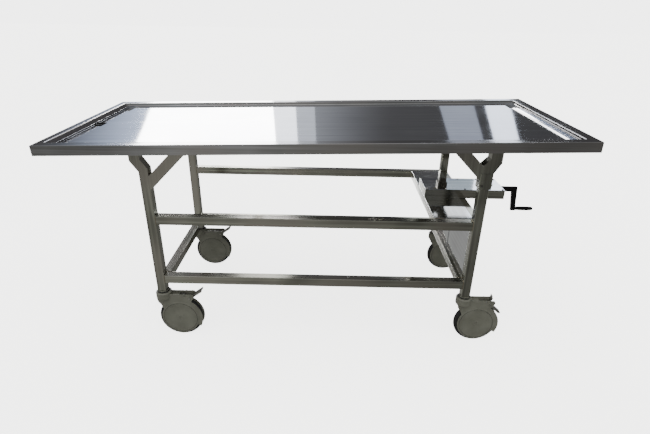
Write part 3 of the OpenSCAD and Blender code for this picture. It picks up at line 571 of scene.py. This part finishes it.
jack = {"x": 0.836, "guide": 0.017, "tube": 0.0143, "guideTop": 0.780, "collar": 0.030}
guide, tube = jack["guide"], jack["tube"]
wiper = spun([(tube + 0.0003, 0), (tube + 0.0003, 0.0032), (tube + 0.0012, 0.0048),
              (guide + 0.0006, 0.0036), (guide + 0.0018, 0.0026), (guide + 0.0018, -0.005),
              (guide + 0.0001, -0.005), (guide + 0.0001, 0), (tube + 0.0003, 0)], 48)
bmesh.ops.transform(wiper, matrix=at(jack["x"], 0, jack["guideTop"]), verts=wiper.verts)
addPiece("jackWiper", wiper, blackSealAndShade, "base")
collar = spun([(guide + 0.0001, 0), (jack["collar"], 0), (jack["collar"] + 0.0005, 0.0012),
               (jack["collar"], 0.003), (guide + 0.004, 0.0042), (guide + 0.0022, 0.0075),
               (guide + 0.0001, 0.0085), (guide + 0.0001, 0)], 48)
bmesh.ops.transform(collar, matrix=at(jack["x"], 0, gearbox["top"] - 0.0002), verts=collar.verts)
addPiece("jackCollar", collar, steelAlongZ, "base")

# the crank: a turned shaft and a forged bar that tapers down to the grip's boss
crank = {"x": 0.836, "z": 0.657, "swing": 15, "armX": 0.978, "arm": 0.096, "bar": 0.013,
         "thickTop": 0.0262, "thickEnd": 0.0205, "wideTop": 0.0240, "wideEnd": 0.0190,
         "armAbove": 0.0128, "armBelow": 0.0108, "corner": 0.0034, "boxX": 0.903,
         "spindle": 0.005, "spindleX": 0.9880, "collarX": 0.8847, "journalX": 0.8464}
swing = at(0, 0, crank["z"]) @ about("X", -crank["swing"])
shaft = spun([(0, 0.0165), (0.0100, 0.0165), (0.0104, 0.0169), (0.0104, 0.0300), (0.0126, 0.0302),
              (crank["bar"] - 0.00002, 0.0308), (crank["bar"] - 0.00002, 0.077), (0.0133, 0.0786),
              (0.0133, 0.1240), (0.0126, 0.1262), (0.0126, 0.1300), (0, 0.1300)], 48)
bmesh.ops.transform(shaft, matrix=at(crank["x"], 0, 0) @ about("Y", 90), verts=shaft.verts)
arm = bmesh.new()
bmesh.ops.create_cube(arm, size=1.0)
for v in arm.verts:
    low = v.co.z < 0
    v.co.x = math.copysign(crank["thickEnd" if low else "thickTop"] / 2, v.co.x) + crank["armX"]
    v.co.y = math.copysign(crank["wideEnd" if low else "wideTop"] / 2, v.co.y)
    v.co.z = -crank["arm"] - crank["armBelow"] if low else crank["armAbove"]
roundOver(arm, crank["corner"], 5)
joined(shaft, arm, Matrix.Identity(4))
# a turned boss and the spindle under the grip, then the collar and the shaft's journal
joined(shaft, spun([(0, 0), (0.0086, 0), (0.0086, 0.0022), (0.0078, 0.0030), (0.0053, 0.0032),
                    (crank["spindle"], 0.0036), (crank["spindle"], 0.0864), (0.0044, 0.0871),
                    (0, 0.0871)], 32),
       at(crank["spindleX"], 0, -crank["arm"]) @ about("Y", 90))
joined(shaft, spun([(0.0125, 0), (0.016, 0), (0.0165, 0.0006), (0.0165, 0.0054), (0.016, 0.006),
                    (0.0125, 0.006), (0.0125, 0)], 40),
       at(crank["collarX"], 0, 0) @ about("Y", 90))
joined(shaft, spun([(0, 0), (0.006, 0), (0.006, 0.0076), (0, 0.0076), (0, 0)], 24),
       at(crank["journalX"], 0, 0) @ about("Y", 90))
closed(shaft)
bmesh.ops.transform(shaft, matrix=swing, verts=shaft.verts)
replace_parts(addPiece("crankBar", shaft, crankEnamel, "crank", 40), "crank_handle")

grip = {"start": 0.9918, "length": 0.084, "wide": 0.010, "bore": 0.0051}
wide, gripEnd = grip["wide"], grip["length"]
handle = spun([(grip["bore"], 0), (wide - 0.0022, 0), (wide - 0.0012, 0.0007),
               (wide - 0.0008, 0.003), (wide - 0.0012, 0.008), (wide - 0.0004, 0.020),
               (wide - 0.00002, 0.040), (wide - 0.0002, 0.060), (wide - 0.0009, 0.074),
               (wide - 0.0022, gripEnd - 0.0028), (wide - 0.0036, gripEnd - 0.0002),
               (grip["bore"] + 0.0008, gripEnd), (grip["bore"], gripEnd - 0.0008),
               (grip["bore"], 0)], 40)
bmesh.ops.transform(handle, matrix=swing @ at(grip["start"], 0, -crank["arm"]) @ about("Y", 90),
                    verts=handle.verts)
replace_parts(addPiece("crankSleeveGrip", handle, gripPhenolic, "grip"),
            "crank_grip")
bushing = spun([(0.01325, 0), (0.0200, 0), (0.0206, 0.0006), (0.0206, 0.0022), (0.0196, 0.0032),
                (0.0142, 0.0036), (0.01325, 0.0030), (0.01325, 0)], 48)
bmesh.ops.transform(bushing, matrix=at(crank["boxX"] - 0.0001, 0, crank["z"]) @ about("Y", 90),
                    verts=bushing.verts)
addPiece("shaftBush", bushing, gearBronze, "base")
print("gearbox and crank done")

# casters: moulded forks with ringed covers, crowned tyres, pressed brake pedals
wheel = {"trail": 0.070, "z": 0.1015, "radius": 0.1015, "rim": 0.078, "cheek": 0.021,
         "forkBend": 0.0007, "pedalBend": 0.0006, "rivetX": (0.100, 0.128), "rivetY": 0.0218,
         "rivetZ": 0.227, "rivetWide": 0.0072, "rivetTall": 0.0016, "swivelZ": 0.2425,
         "capSunk": 0.0012}
# sections as (radius, height): the tread, then on each cover its ring, a thin black ring of painted shade
# where a groove's shadow falls at the cover's edge, the hub's cap and ring, and the seal of the swivel
tyre = [(wheel["rim"], -0.0138), (0.0815, -0.0140), (0.0822, -0.0146), (0.0858, -0.0149),
        (0.0866, -0.0143), (0.0905, -0.0142), (0.0950, -0.0132), (0.0985, -0.0108),
        (0.1003, -0.0080), (0.1011, -0.0058), (0.1006, -0.0054), (0.1006, -0.0046),
        (0.1014, -0.0042)]
tyre += [(wheel["radius"], 0.0)] + [(r, -z) for r, z in reversed(tyre)] + [tyre[0]]
cover = [(0.0745, -0.0006), (0.0745, 0.0004), (0.0753, 0.0010), (0.0768, 0.0010),
         (0.0776, 0.0004), (0.0776, -0.0006), (0.0745, -0.0006)]
shadowGapRing = [(0.0784, -0.0004), (0.0784, 0.0002), (0.0797, 0.0002), (0.0797, -0.0004),
           (0.0784, -0.0004)]
hubCap = [(0.0, 0.0012), (0.0036, 0.0010), (0.0048, 0.0004), (0.0052, -0.0010), (0.0, -0.0010),
          (0.0, 0.0012)]
hubRing = [(0.0085, -0.0004), (0.0085, 0.0005), (0.0092, 0.0009), (0.0128, 0.0009),
           (0.0136, 0.0004), (0.0136, -0.0004), (0.0085, -0.0004)]
seal = [(0.0262, 0), (0.0278, 0.0006), (0.0286, 0.0022), (0.0278, 0.0044), (0.0262, 0.0052),
        (0.0262, 0)]
for word, (x, y, tag) in corners.items():
    middle = at(x + wheel["trail"], y, wheel["z"])
    tread = spun(tyre, 96)
    bmesh.ops.transform(tread, matrix=middle @ about("X", 90), verts=tread.verts)
    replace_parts(addPiece("tyre_" + tag, tread, tyreRubber, "wheel_" + word),
                "wheel_tyre_" + tag)
    fork = copyOf("caster_fork_" + tag, wheel["forkBend"], 2, 30)
    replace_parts(addPiece("fork_" + tag, fork, casterNylon, "caster_" + word),
                "caster_fork_" + tag)
    trim, lines = bmesh.new(), bmesh.new()
    for side in (-1, 1):
        face = middle @ at(0, side * wheel["cheek"], 0) @ about("X", -90 * side)
        joined(lines, spun(shadowGapRing, 96), face)
        joined(trim, spun(cover, 96), face)
        joined(trim, spun(hubRing, 40), face)
        joined(trim, spun(hubCap, 24), face @ at(0, 0, -wheel["capSunk"]))
    addPiece("coverTrim_" + tag, trim, casterNylon, "caster_" + word)
    # the black rings are painted shade: flush with the cover, they stand in for the shadow in its groove
    addPiece("coverShadowRing_" + tag, lines, blackSealAndShade, "caster_" + word)
    rivets = bmesh.new()
    for side in (-1, 1):
        for along in wheel["rivetX"]:
            joined(rivets, screwHead(wheel["rivetWide"], wheel["rivetTall"]),
                   at(x + along, y + side * wheel["rivetY"], wheel["rivetZ"])
                   @ about("X", -90 * side))
    addPiece("rivets_" + tag, rivets, boltSteel, "caster_" + word)
    dust = spun(seal, 48)
    bmesh.ops.transform(dust, matrix=at(x, y, wheel["swivelZ"]), verts=dust.verts)
    addPiece("swivelSeal_" + tag, dust, blackSealAndShade, "caster_" + word)
    pedal = copyOf("brake_pedal_" + tag, wheel["pedalBend"], 2, 30)
    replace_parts(addPiece("pedal_" + tag, pedal, pedalZinc, "brake_" + word),
                "brake_pedal_" + tag)
print("casters done")

# studio: pale floor, far windows for the metal to mirror, and the photograph's camera; windows
# and walls were tuned until the metal came near the photograph
floor = {"size": 60.0, "colour": "#f4f4f2", "glow": 3.9}
# each window: left, right, bottom and top for every metre away, lean in degrees, strength,
# colour, and the side towards which its light fades, if it does
windows = {"wide": (-0.365, -0.135, 0.15, 0.33, 0, 16.0, "#ffffff", None),
           "wideLeaning": (-0.442, -0.352, 0.12, 0.40, -32, 16.0, "#ffffff", None),
           "wideEdge": (-0.135, -0.085, 0.15, 0.33, 0, 3.6, "#f4f7ff", None),
           "curtain": (-0.085, -0.043, 0.15, 0.33, 0, 1.0, "#dfe6f2", None),
           "curtainFade": (-0.043, 0.130, 0.15, 0.33, 0, 0.30, "#dfe6f2", "right"),
           "wallFade": (-0.660, -0.418, 0.10, 0.42, -32, 2.2, "#c6d6f4", "left"),
           "upper": (-0.225, -0.100, 0.33, 0.66, 0, 3.6, "#ffffff", None),
           "slim": (0.247, 0.318, 0.13, 0.36, 20, 0.66, "#ccd6ec", None),
           "tall": (0.346, 0.398, 0.13, 0.36, 20, 3.2, "#e6efff", None),
           "tallUpper": (0.345, 0.530, 0.34, 0.50, 0, 4.0, "#eef4ff", None),
           "leftUpper": (-0.600, -0.445, 0.38, 0.58, 0, 5.0, "#f4f7ff", None),
           "pale": (0.270, 0.345, 0.34, 0.396, 0, 0.8, "#cfe2ee", None),
           "lowCard": (-0.195, -0.060, -0.62, -0.36, 0, 7.0, "#fbfcff", None),
           "skylight": (0.200, 0.370, 0.402, 0.600, 0, 2.4, "#f2f6fb", None)}
windowFar, windowRaise = 120.0, 0.9
# the walls: a tint by height beyond the cart and behind the camera, then how much light falls
# on them from left to right
walls = {"height": [(-1.0, "#8f8f8c"), (-0.35, "#979794"), (-0.08, "#8b8b8a"), (0.04, "#69696b"),
                    (0.45, "#67676a"), (0.72, "#77777b"), (0.86, "#eceef2"), (1.0, "#ffffff")],
         "behind": [(-1.0, "#8f8f8c"), (-0.35, "#979794"), (-0.08, "#8b8b8a"), (0.03, "#989a9a"),
                    (0.35, "#a6a9aa"), (0.5, "#c4c7ca"), (0.8, "#e4e7ea"), (1.0, "#ffffff")],
         "side": [(-1.0, 2.0), (-0.66, 0.8), (-0.43, 0.76), (-0.32, 1.32), (-0.10, 1.15),
                  (0.13, 0.72), (0.4, 0.55), (0.66, 0.6), (1.0, 2.0)]}
# a soft light from above, mainly for the plastics, that no metal mirrors
fill = {"place": (-1.0, -2.5, 6.0), "strength": 2.2, "spread": 100}
camera = {"place": (0.0564, -2.1197, 1.4715), "pitch": 0.4363, "yaw": -0.0054, "roll": -0.0178,
          "lens": 25.305, "sensor": 36.0, "backdrop": 4.6}

world = bpy.data.worlds.new("studioWorld")
bpy.context.scene.world = world
world.use_nodes = True
sky = world.node_tree
sky.nodes.clear()
direction = addNode(sky, "ShaderNodeTexCoord").outputs["Generated"]
parts = addNode(sky, "ShaderNodeSeparateXYZ", None, {"Vector": direction})
spans = {key: addNode(sky, "ShaderNodeMapRange", {"From Min": -1.0, "From Max": 1.0},
                      {"Value": parts.outputs[axis]}).outputs["Result"]
         for key, axis in (("height", "Z"), ("side", "X"))}
beyond, behind = [ramp(sky, spans["height"], [((z + 1) / 2, linear(c)) for z, c in walls[key]])
                  for key in ("height", "behind")]
toRear = addNode(sky, "ShaderNodeMapRange", {"From Min": 0.15, "From Max": -0.15},
                 {"Value": parts.outputs["Y"]})
tint = addNode(sky, "ShaderNodeMix", {"data_type": "RGBA"},
               {0: toRear.outputs["Result"], 6: beyond, 7: behind}).outputs[2]
# a ramp's colour ends at 1, so the shares are halved here and the light is doubled below
share = ramp(sky, spans["side"], [((x + 1) / 2, grey(v / 2)) for x, v in walls["side"]])
room = addNode(sky, "ShaderNodeVectorMath", {"operation": "MULTIPLY"}, {0: tint, 1: share})
seen = addNode(sky, "ShaderNodeLightPath")
pale = addNode(sky, "ShaderNodeBackground",
               {"Color": linear("#fbfbfa"), "Strength": camera["backdrop"]})
dim = addNode(sky, "ShaderNodeBackground", {"Strength": 2.0}, {"Color": room.outputs[0]})
mixed = addNode(sky, "ShaderNodeMixShader", None,
                {0: seen.outputs["Is Camera Ray"], 1: dim.outputs[0], 2: pale.outputs[0]})
addNode(sky, "ShaderNodeOutputWorld", None, {"Surface": mixed.outputs[0]})

floorMesh = bmesh.new()
bmesh.ops.create_grid(floorMesh, x_segments=1, y_segments=1, size=floor["size"] / 2)
floorData = bpy.data.meshes.new("floor")
floorMesh.to_mesh(floorData)
floorMesh.free()
floorPiece = bpy.data.objects.new("floor", floorData)
bpy.context.scene.collection.objects.link(floorPiece)
floorMaterial, _, floorSurface, _ = newMaterial("paperWhiteFloor")
floorSurface.inputs["Base Color"].default_value = linear(floor["colour"])
floorSurface.inputs["Roughness"].default_value = 0.9
floorSurface.inputs["Emission Color"].default_value = linear(floor["colour"])
floorSurface.inputs["Emission Strength"].default_value = floor["glow"]
floorData.materials.append(floorMaterial)
floorPiece.visible_glossy = False
floorPiece.visible_diffuse = False


def lampAt(name, kind, place, target):
    lamp = bpy.data.lights.new(name, kind)
    made = bpy.data.objects.new(name, lamp)
    bpy.context.scene.collection.objects.link(made)
    made.location = place
    made.rotation_euler = (Vector(target) - Vector(place)).to_track_quat("-Z", "Y").to_euler()
    return made, lamp


for name, (left, right, bottom, high, lean, strength, colour, fade) in windows.items():
    wide, tall = (right - left) * windowFar, (high - bottom) * windowFar
    x, z = (left + right) / 2 * windowFar, (bottom + high) / 2 * windowFar + windowRaise
    pane, lamp = lampAt(name + "Window", "AREA", (x, windowFar, z), (x, 0, z))
    lamp.shape = "RECTANGLE"
    lamp.size, lamp.size_y = wide, tall
    # an area light's watts spread over its face, so they follow from its size
    lamp.energy = strength * wide * tall * math.pi
    lamp.color = linear(colour)[:3]
    pane.visible_diffuse = False
    pane.rotation_euler.rotate(Matrix.Rotation(math.radians(lean), 3, "Y"))
    if fade:
        lamp.use_nodes = True
        lit = lamp.node_tree
        spot = addNode(lit, "ShaderNodeNewGeometry").outputs["Parametric"]
        along = addNode(lit, "ShaderNodeSeparateXYZ", None, {"Vector": spot}).outputs["X"]
        # a pane that faces the cart has its own X towards the left
        ends = (1.0, 0.0) if fade == "left" else (0.0, 1.0)
        level = addNode(lit, "ShaderNodeMapRange", {"To Min": ends[0], "To Max": ends[1]},
                        {"Value": along}).outputs["Result"]
        falloff = addNode(lit, "ShaderNodeMath", {"operation": "POWER", 1: 1.7}, {0: level})
        lit.links.new(falloff.outputs[0], lit.nodes["Emission"].inputs["Strength"])
overhead, lamp = lampAt("softOverhead", "SUN", fill["place"], (0, 0, 0))
lamp.energy = fill["strength"]
lamp.angle = math.radians(fill["spread"])
overhead.visible_glossy = False

sight = bpy.data.cameras.new("photoView")
sight.lens = camera["lens"]
sight.sensor_width = camera["sensor"]
eye = bpy.data.objects.new("photoView", sight)
bpy.context.scene.collection.objects.link(eye)
eye.matrix_world = (Matrix.Translation(camera["place"])
                    @ Matrix.Rotation(-camera["yaw"], 4, "Z")
                    @ Matrix.Rotation(math.radians(90) - camera["pitch"], 4, "X")
                    @ Matrix.Rotation(-camera["roll"], 4, "Z"))
bpy.context.scene.camera = eye
print("studio set")
